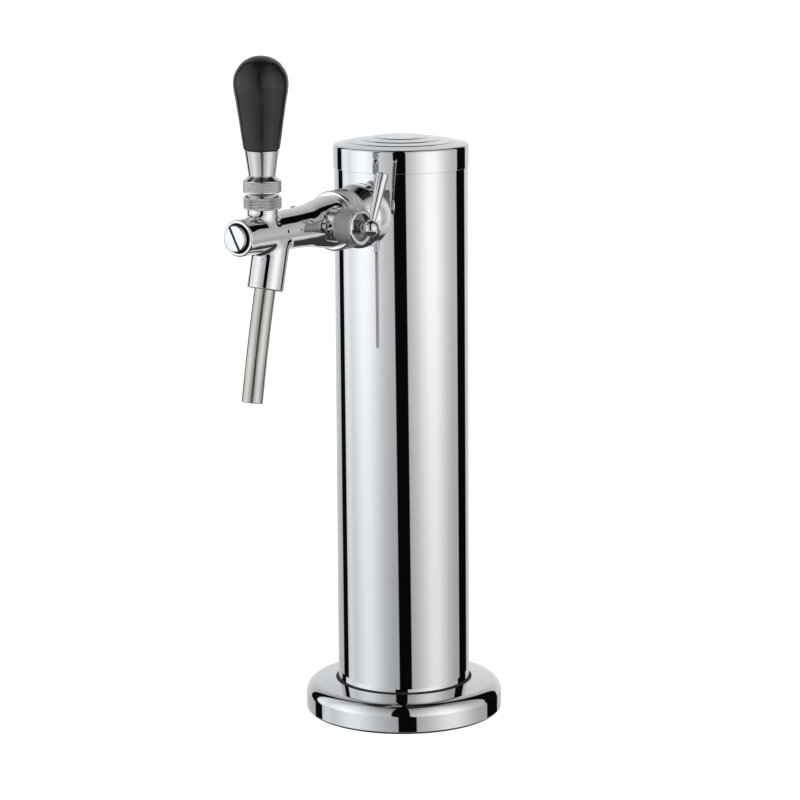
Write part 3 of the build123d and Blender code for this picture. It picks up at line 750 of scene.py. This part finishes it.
def surface_net(field, low, high, cell):
    """Quads round the zero level of a distance field, with points moved onto it."""
    axes = [np.arange(a, b, cell) for a, b in zip(low, high)]
    grid = np.meshgrid(*axes, indexing="ij")
    value = field(*grid)
    solid = value < 0
    shape = np.array(value.shape)
    total = np.zeros(tuple(shape - 1) + (3,))
    hits = np.zeros(tuple(shape - 1))
    quads = []
    index = -np.ones(tuple(shape - 1), int)
    for axis in range(3):
        a = [slice(None)] * 3
        b = [slice(None)] * 3
        a[axis], b[axis] = slice(0, -1), slice(1, None)
        first, second = value[tuple(a)], value[tuple(b)]
        change = solid[tuple(a)] != solid[tuple(b)]
        where = np.argwhere(change)
        share = (first[change] / (first[change] - second[change]))[:, None]
        point = where + share * np.eye(3)[axis]
        for home in cells_round(where, axis):
            np.add.at(total, tuple(home.T), point)
            np.add.at(hits, tuple(home.T), 1)
        quads.append((axis, where, solid[tuple(a)][change]))
    used = hits > 0
    index[used] = np.arange(used.sum())
    points = np.array(low) + total[used] / hits[used][:, None] * cell
    faces = []
    for axis, where, outward in quads:
        quad = np.stack([index[tuple(home.T)] for home in cells_round(where, axis)], axis=1)
        quad[~outward] = quad[~outward][:, ::-1]
        faces.append(quad)
    return points, np.concatenate(faces)


def slope_of(field, points, reach=0.02):
    """Gradient of a distance field at points."""
    step = np.eye(3) * reach
    ups = [field(*(points + s).T) - field(*(points - s).T) for s in step]
    return np.stack(ups, axis=1) / (2 * reach)


def tap_casting():
    """Body of the tap as one smooth casting, with its bores, pocket and vent hole."""
    low, high = (-17.0, 59.0, -37.0), (25.0, 145.0, 18.5)
    rounds = 3
    points, faces = surface_net(casting_field, low, high, CELL)
    for _ in range(rounds):
        slope = slope_of(casting_field, points)
        size = np.maximum((slope**2).sum(axis=1), 0.1)
        move = slope * (casting_field(*points.T) / size)[:, None]
        points = points - np.clip(move, -CELL / 2, CELL / 2)
    normals = unit(slope_of(casting_field, points))
    turned = np.stack([points[:, 0], -points[:, 1], points[:, 2] + TAP_Z], axis=1)
    normals = normals * np.array([1, -1, 1])
    piece = make_object("tap_casting", turned, faces[:, ::-1].tolist(), UPRIGHT, normals)
    x, t, z = points.T
    # Shade painted inside the vent hole, on its points below the barrel's surface.
    in_vent = (np.hypot(t - VENT[0], z - VENT[1]) < VENT_R + 0.25) & (x > 0)
    sunk = np.hypot(x, z) < barrel_radius(t) - 0.15
    store_painted_shade(piece, np.where(in_vent & sunk, 1.0, 0.0))
    return fit(piece, "tower", "tap_chrome", "tap_body", look="grooved")


def front_plug_slotted():
    """Slotted plug in the ring at the tap's front end."""
    face = -corners("front_plug")[0].y
    back, shoulder, thread, head = 132.0, 140.2, 6.0, 7.0
    slot_width, slot_depth, slot_turn = 1.45, 1.5, 28
    outline = [
        (0, back), (thread, back, 0.3), (thread, shoulder), (head, shoulder),
        (head, face, 0.7), (0, face),
    ]
    plug = lathe("front_plug_slotted", outline, ALONG_TAP)
    slot = block((slot_width, 20, 2 * slot_depth), spoke(slot_turn, 0, face))
    carve(plug, [slot], ALONG_TAP)
    # Shade painted on the bottom of the slot.
    depth = face - local_points(plug, ALONG_TAP)[:, 2]
    store_painted_shade(plug, np.where(np.abs(depth - slot_depth) < 0.5, 1.0, 0.0))
    return fit(soften(plug, 0.08), "tower", "tap_chrome", "front_plug", look="grooved")


def guide_screw_head():
    """Domed screw on the far side of the barrel."""
    place = turned_to((0, centre("guide_screw").y, TAP_Z), -45, "Y")
    tip, shoulder, top, shank, head = 8.2, 11.0, 13.0, 1.4, 2.3
    outline = [
        (0, tip), (shank, tip), (shank, shoulder), (head, shoulder), (head, top, 0.7), (0, top),
    ]
    screw = lathe("guide_screw_head", outline, place, segments=64)
    return fit(screw, "tower", "tap_chrome", "guide_screw")


# ---- Bonnet and handle -------------------------------------------------------
def bonnet_nut_knurled():
    """Knurled nut over the lever's ball, with six notches in its chamfered top."""
    low, high = corners("bonnet_nut")
    radius, bore, chamfer = high.x, 8.25, 1.3
    flat, mouth, throat, roof = 8.8, 6.8, 5.0, 306.4
    outline = [
        (bore, low.z), (radius, low.z, 0.6), (radius, high.z - chamfer, 0.2),
        (flat, high.z, 0.2), (mouth, high.z), (throat, roof), (bore, roof),
    ]
    nut = knurled("bonnet_nut_knurled", outline, ON_PIVOT, (low.z + 0.5, high.z - 1.4), 58)
    notches = [block((2.6, 2.2, 1.8), spoke(7.5 + 60 * k, radius, high.z)) for k in range(6)]
    carve(nut, notches, ON_PIVOT)
    return fit(nut, "tower", "tap_chrome", "bonnet_nut", look="knurl")


def lock_ring_knurled():
    """Knurled lock ring, hollow underneath to swing over the bonnet nut."""
    low, high = corners("lock_ring")
    hollow, bore, edge = 12.4, 4.75, 317.5
    under = [
        (math.sqrt(hollow**2 - (z - PIVOT.z) ** 2), z, 0.1)
        for z in (low.z + 3.0, low.z + 1.8, low.z + 0.8, low.z)
    ]
    outline = [
        (bore, high.z, 0.1), (bore, low.z + 3.25, 0.1), *under, (high.x, low.z, 0.5),
        (high.x, edge, 0.35), (7.7, high.z - 0.4, 0.7), (7.2, high.z, 0.1),
    ]
    ring = knurled("lock_ring_knurled", outline, ON_PIVOT, (low.z + 0.4, edge - 0.3), 58)
    return fit(ring, "handle", "tap_chrome", "lock_ring", look="knurl")


def ferrule_cone():
    """Chromed cone that carries the grip."""
    low, high = corners("handle_ferrule")
    bore, stud = 4.75, 4.05
    outline = [
        (bore, low.z), (7.2, low.z, 0.4), (high.x, high.z, 0.4), (stud, high.z),
        (stud, 328.2), (bore, 327.7),
    ]
    cone = lathe("ferrule_cone", outline, ON_PIVOT)
    return fit(cone, "handle", "tap_chrome", "handle_ferrule")


def grip_moulding():
    """Pear-shaped grip, with a hole for its stud."""
    low, high = corners("handle_grip")
    radius, foot_edge, stud, stud_end = high.x, 9.7, 4.05, 352.5
    knots = [
        (foot_edge, low.z + 0.9), (10.5, low.z + 6.0), (11.6, low.z + 14.0),
        (13.2, low.z + 24.5), (radius, low.z + 34.7), (13.95, low.z + 39.7),
        (12.1, high.z - 6.4), (9.4, high.z - 3.2), (5.8, high.z - 1.12),
        (2.9, high.z - 0.25), (0.0, high.z),
    ]
    points, normals = smooth_curve(knots, 90)
    normals[-1] = (0, 1)
    points[-1][0] = 0
    foot = [
        (0, stud_end), (stud, stud_end, 0.1), (stud, low.z, 0.3), (8.9, low.z, 0.6),
        (foot_edge, low.z + 0.9, 0.2),
    ]
    foot, foot_normals = rounded(foot, closed=False)
    curve = np.concatenate([foot[:-1], points]), np.concatenate([foot_normals[:-1], normals])
    grip = lathe("grip_moulding", None, ON_PIVOT, curve=curve)
    return fit(grip, "handle", "black_grip", "handle_grip")


# ---- Spout -------------------------------------------------------------------
def spout_pipe():
    """Steel tube: straight into the boss, one long gentle bend, straight tip."""
    outer, wall, start, boss = 5.75, 0.9, 20.0, 32.0
    bend, bend_radius, tip = math.radians(3.4), 758.0, 14.4
    inner = outer - wall
    places = [(0.0, s, 0.0) for s in np.linspace(start, boss, 5)]
    for a in np.linspace(0, bend, 25)[1:]:
        places.append((-bend_radius * (1 - math.cos(a)), boss + bend_radius * math.sin(a), a))
    off, down, _ = places[-1]
    for s in np.linspace(0, tip, 5)[1:]:
        places.append((off - s * math.sin(bend), down + s * math.cos(bend), bend))
    lip = wall / 2
    sections = [(place, outer, (1, 0), 0.0) for place in places]
    for k in range(1, 8):
        c, s = math.cos(math.pi * k / 8), math.sin(math.pi * k / 8)
        sections.append((places[-1], inner + lip + lip * c, (c, s), lip * s))
    sections += [(place, inner, (-1, 0), 0.0) for place in places[::-1]]
    segments = 96
    spots, normals, rows = [], [], []
    for (y, s, angle), radius, (out, up), beyond in sections:
        rows.append((len(spots), segments))
        trim = -lip if (y, s) == places[-1][:2] else 0.0
        along = np.array([0, -math.sin(angle), math.cos(angle)])
        side = np.array([0, math.cos(angle), math.sin(angle)])
        middle = np.array([0, y, s]) + along * (beyond + trim)
        for j in range(segments):
            a = 2 * math.pi * j / segments
            ray = np.array([math.cos(a), 0, 0]) + side * math.sin(a)
            spots.append(middle + ray * radius)
            normals.append(ray * out + along * up)
    piece = make_object("spout_pipe", spots, ring_faces(rows, segments, True), DOWN_SPOUT, normals)
    return fit(piece, "tower", "stainless", "spout_tube")


# ---- Compensator -------------------------------------------------------------
def compensator_nut_knurled():
    """Knurled nut that holds the spindle, with a recess in its outer face."""
    low, high = corners("compensator_nut")
    radius = (high.z - low.z) / 2
    bore, recess_r, recess_depth, hole, thread_end = 8.05, 7.4, 2.0, 3.7, 25.6
    outline = [
        (bore, low.x), (radius, low.x, 0.5), (radius, high.x, 1.0), (recess_r, high.x, 0.3),
        (recess_r, high.x - recess_depth, 0.2), (hole, high.x - recess_depth, 0.2),
        (hole, thread_end), (bore, thread_end),
    ]
    nut = knurled("compensator_nut_knurled", outline, ACROSS_TAP, (low.x + 0.5, high.x - 1.3), 56)
    # Shade painted into the recess in the nut's outer face, on top of the knurl's painted groove shade.
    points = local_points(nut, ACROSS_TAP)
    depth = high.x - points[:, 2]
    painted_shade_recess = np.hypot(points[:, 0], points[:, 1]) < recess_r + 0.05
    painted_shade_recess &= (depth > 0.4) & (depth < recess_depth + 0.2)
    groove = np.zeros(len(points))
    nut.data.attributes["groove"].data.foreach_get("value", groove)
    store_painted_shade(nut, np.where(painted_shade_recess, 1.0, groove))
    return fit(nut, "tower", "tap_chrome", "compensator_nut", look="knurl")


def compensator_collar_pads():
    """Ring of spanner pads between the tap's body and the knurled nut."""
    low, high = corners("compensator_collar")
    middle = (low.x + high.x) / 2
    radius, bore = 9.3, 8.05
    outline = [(bore, low.x), (radius, low.x, 0.9), (radius, high.x, 0.5), (bore, high.x)]
    ring = lathe("compensator_collar_pads", outline, ACROSS_TAP)
    gaps = [block((2.2, 1.5, 8), spoke(15 + 30 * k, radius, middle)) for k in range(12)]
    pins = [drill(0.7, 3, spoke(120 * k - 90, radius, middle) @ SIDEWAYS) for k in range(3)]
    carve(ring, gaps + pins, ACROSS_TAP)
    return fit(soften(ring, 0.25), "tower", "tap_chrome", "compensator_collar")


def hub_ball():
    """Round hub with a short collar, on the end of the spindle."""
    radius = 4.6
    neck, collar = 3.7, 29.2
    start = math.acos(-math.sqrt(radius**2 - neck**2) / radius)
    turns = np.linspace(start, 0, 40)
    arc = [(radius * math.sin(a), HUB_X + radius * math.cos(a)) for a in turns]
    curve = np.array([(0, collar), (neck - 0.3, collar), (neck, collar + 0.3), *arc])
    curve[-1][0] = 0
    normals = [(0, -1), (0.3, -0.95), (1, 0)]
    normals += [(r / radius, (h - HUB_X) / radius) for r, h in arc]
    normals[-1] = (0, 1)
    ball = lathe("hub_ball", None, ACROSS_TAP, 96, (curve, np.array(normals, float)))
    return fit(ball, "flow_lever", "tap_chrome", "compensator_hub")


def flow_lever_rod():
    """Tapered flow lever with a rounded flat end."""
    foot, end, tenon = 2.1, 30.5, 1.7
    outline = [
        (0, foot), (tenon, foot), (tenon, 4.4, 0.5), (2.0, 5.6, 1.0), (3.5, end, 0.9),
        (0, end),
    ]
    rod = lathe("flow_lever_rod", outline, UP_LEVER, segments=96)
    return fit(rod, "flow_lever", "tap_chrome", "compensator_lever")


# ---- Parts kept as they are --------------------------------------------------
def finish_cad_nodes():
    """Gives every CAD node that still shows the material of its slot."""
    slots = {part["node"]: part["material_slot"] for part in frame["record"]["subparts"]}
    for name, node in frame["nodes"].items():
        if node.hide_render:
            continue
        material = MATERIALS[slots[name]]
        if not node.material_slots:
            node.data.materials.append(material)
        for place in node.material_slots:
            place.material = material


# ---- Studio ------------------------------------------------------------------
CAMERA_AZIMUTH = 36.68
CAMERA_PITCH = 10.415
CAMERA_ROLL = -0.314
CAMERA_AT = (1.0155, -1.3633, 0.5196)


def make_camera():
    data = bpy.data.cameras.new("camera")
    data.lens = 137.85
    data.sensor_width = 36.0
    data.shift_x = -0.00275
    data.shift_y = -0.06
    data.clip_start = 0.05
    data.clip_end = 200.0
    camera = in_scene("camera", data)
    turn = (
        Matrix.Rotation(math.radians(CAMERA_AZIMUTH), 4, "Z")
        @ Matrix.Rotation(math.radians(90 - CAMERA_PITCH), 4, "X")
        @ Matrix.Rotation(math.radians(CAMERA_ROLL), 4, "Z")
    )
    camera.matrix_world = Matrix.Translation(CAMERA_AT) @ turn
    bpy.context.scene.camera = camera


def make_floor():
    """Plain pale floor; the light tent, not the floor, is what the chrome mirrors."""
    size = 30.0
    mesh = bpy.data.meshes.new("floor")
    spots = [(-size, -size, 0), (size, -size, 0), (size, size, 0), (-size, size, 0)]
    mesh.from_pydata(spots, [], [(0, 1, 2, 3)])
    floor = in_scene("floor", mesh)
    paint = Finish("floor_white", (0.9, 0.9, 0.9), 0.0, 0.9, 0.0)
    paint.set("Emission Color", (1, 1, 1, 1))
    paint.set("Emission Strength", 0.88)
    mesh.materials.append(paint.material)
    floor.visible_glossy = False


# Light tent. Azimuths are degrees to the right of the camera, as seen from the tower; heights are
# degrees above the horizon.
TENT_WALL = 0.45
# Soft light on the wall, as (azimuth, width, power).
SOFTBOXES = ((-68.0, 32.0, 0.64), (-112.0, 11.0, 0.36), (54.0, 29.0, 0.60), (180.0, 42.0, 0.30))
# Dark gaps in the wall, as (azimuth, half width), the light left in them and their soft edge.
GAPS = ((-0.8, 10.8), (-126.3, 8.3), (126.3, 14.8))
GAP_LIGHT, GAP_EDGE = 0.006, 0.8
# The gaps lean between these heights, by so many degrees to the degree.
LEAN_FROM, LEAN_TO, LEAN_LEVEL, LEAN = -18.0, -6.0, 10.4, 0.7
# Share of the wall's light at each height.
BELOW = ((-90, 0.9), (-20, 0.86), (-15, 0.90), (-12, 1.0), (-9, 1.14), (0, 1.16))
ABOVE = ((12, 1.06), (24, 0.95), (38, 0.8), (52, 0.6), (62, 0.4), (68, 0.04), (90, 0.02))
# Light from the floor at each height, and where it takes over from the wall.
FLOOR = ((-90, 0.02), (-38.5, 0.02), (-37, 0.04), (-35.4, 0.24), (-30, 0.30))
FLOOR_FROM, FLOOR_FULL = -22.0, -30.0
# Light that stands for white in the ramps of the wall and of the heights.
FULL = 1.6


def tent_light(azimuth):
    """Light of the tent's wall at an azimuth, before its gaps."""
    light = TENT_WALL
    for middle, width, power in SOFTBOXES:
        away = (azimuth - middle + 180) % 360 - 180
        light += power * math.exp(-((away / width) ** 2))
    return light


class Sky(Nodes):
    """World shader built from small maths nodes."""

    def maths(self, operation, *values):
        node = self.add("ShaderNodeMath", operation=operation)
        for socket, value in zip(node.inputs, values):
            if isinstance(value, (int, float)):
                socket.default_value = value
            else:
                self.link(value, socket)
        return node.outputs[0]

    def steps(self, value, low, high):
        """0 below the first value, 1 above the second, smooth between."""
        node = self.add("ShaderNodeMapRange", interpolation_type="SMOOTHSTEP")
        node.inputs["From Min"].default_value = low
        node.inputs["From Max"].default_value = high
        self.link(value, node.inputs["Value"])
        return node.outputs["Result"]

    def ramp(self, value, stops):
        """Colour ramp from (position, colour) stops in rising order."""
        node = self.add("ShaderNodeValToRGB")
        ramp = node.color_ramp
        while len(ramp.elements) > 1:
            ramp.elements.remove(ramp.elements[-1])
        for index, (position, colour) in enumerate(stops):
            stop = ramp.elements[0] if index == 0 else ramp.elements.new(position)
            stop.position = position
            stop.color = (*colour, 1.0)
        self.link(value, node.inputs["Fac"])
        return node.outputs["Color"]

    def mix(self, factor, a, b, blend="MIX"):
        node = self.add("ShaderNodeMix", data_type="RGBA", blend_type=blend)
        for name, value in (("Factor", factor), ("A", a), ("B", b)):
            if hasattr(value, "is_linked"):
                self.link(value, node.inputs[name])
            else:
                node.inputs[name].default_value = value
        return node.outputs["Result"]


def make_tent():
    """Light tent: lit wall with three dark gaps, dark top, floor and a white backdrop."""
    world = bpy.data.worlds.new("light_tent")
    bpy.context.scene.world = world
    sky = Sky(world)
    way = sky.add("ShaderNodeTexCoord").outputs["Generated"]
    split = sky.add("ShaderNodeSeparateXYZ")
    sky.link(way, split.inputs[0])
    x, y, z = split.outputs
    c, s = math.cos(math.radians(CAMERA_AZIMUTH)), math.sin(math.radians(CAMERA_AZIMUTH))
    ahead = sky.maths("SUBTRACT", sky.maths("MULTIPLY", x, s), sky.maths("MULTIPLY", y, c))
    right = sky.maths("ADD", sky.maths("MULTIPLY", x, c), sky.maths("MULTIPLY", y, s))
    azimuth = sky.maths("MULTIPLY", sky.maths("ARCTAN2", right, ahead), 180 / math.pi)
    height = sky.maths("MULTIPLY", sky.maths("ARCSINE", z), 180 / math.pi)
    lean = sky.maths("MINIMUM", sky.maths("MAXIMUM", height, LEAN_FROM), LEAN_TO)
    lean = sky.maths("ADD", sky.maths("MULTIPLY", lean, LEAN), LEAN * LEAN_LEVEL)
    azimuth = sky.maths("ADD", azimuth, lean)
    stops = []
    for degrees in range(-180, 181, 12):
        light = tent_light(degrees) / FULL
        cool = 1.0 if degrees < 0 else 0.35
        colour = (light * (1 - 0.045 * cool), light * (1 - 0.02 * cool), light)
        stops.append(((degrees + 180) / 360, colour))
    wall = sky.ramp(sky.maths("DIVIDE", sky.maths("ADD", azimuth, 180.0), 360.0), stops)
    lit = None
    for middle, half in GAPS:
        away = sky.maths("ABSOLUTE", sky.maths("SUBTRACT", azimuth, middle))
        edge = sky.steps(away, half - GAP_EDGE, half + GAP_EDGE)
        lit = edge if lit is None else sky.maths("MULTIPLY", lit, edge)
    lit = sky.maths("MAXIMUM", lit, GAP_LIGHT)
    up = sky.maths("DIVIDE", sky.maths("ADD", height, 90.0), 180.0)
    tall = [((degrees + 90) / 180, (value / FULL,) * 3) for degrees, value in BELOW + ABOVE]
    below = [((degrees + 90) / 180, (value, value, value * 1.02)) for degrees, value in FLOOR]
    tent = sky.mix(1.0, sky.mix(1.0, wall, sky.ramp(up, tall), "MULTIPLY"), lit, "MULTIPLY")
    floor_share = sky.steps(height, FLOOR_FROM, FLOOR_FULL)
    tent = sky.mix(floor_share, tent, sky.ramp(up, below))
    glow = sky.add("ShaderNodeBackground")
    sky.link(tent, glow.inputs["Color"])
    glow.inputs["Strength"].default_value = FULL * FULL
    plain = sky.add("ShaderNodeBackground")
    plain.inputs["Color"].default_value = (1, 1, 1, 1)
    plain.inputs["Strength"].default_value = 1.0
    choose = sky.add("ShaderNodeMixShader")
    output = sky.add("ShaderNodeOutputWorld")
    seen = sky.add("ShaderNodeLightPath").outputs["Is Camera Ray"]
    sky.link(seen, choose.inputs[0])
    sky.link(glow.outputs[0], choose.inputs[1])
    sky.link(plain.outputs[0], choose.inputs[2])
    sky.link(choose.outputs[0], output.inputs["Surface"])


# ---- Build -------------------------------------------------------------------
PIECES = (
    base_flange_shell, column_skin, cap_shell, saddle_collar, coupling_nut_knurled, tap_casting,
    front_plug_slotted, guide_screw_head, bonnet_nut_knurled, lock_ring_knurled, ferrule_cone,
    grip_moulding, spout_pipe, compensator_nut_knurled, compensator_collar_pads, hub_ball,
    flow_lever_rod,
)
for build in PIECES:
    build()
finish_cad_nodes()
make_camera()
make_floor()
make_tent()
bpy.context.scene.view_settings.view_transform = "Standard"
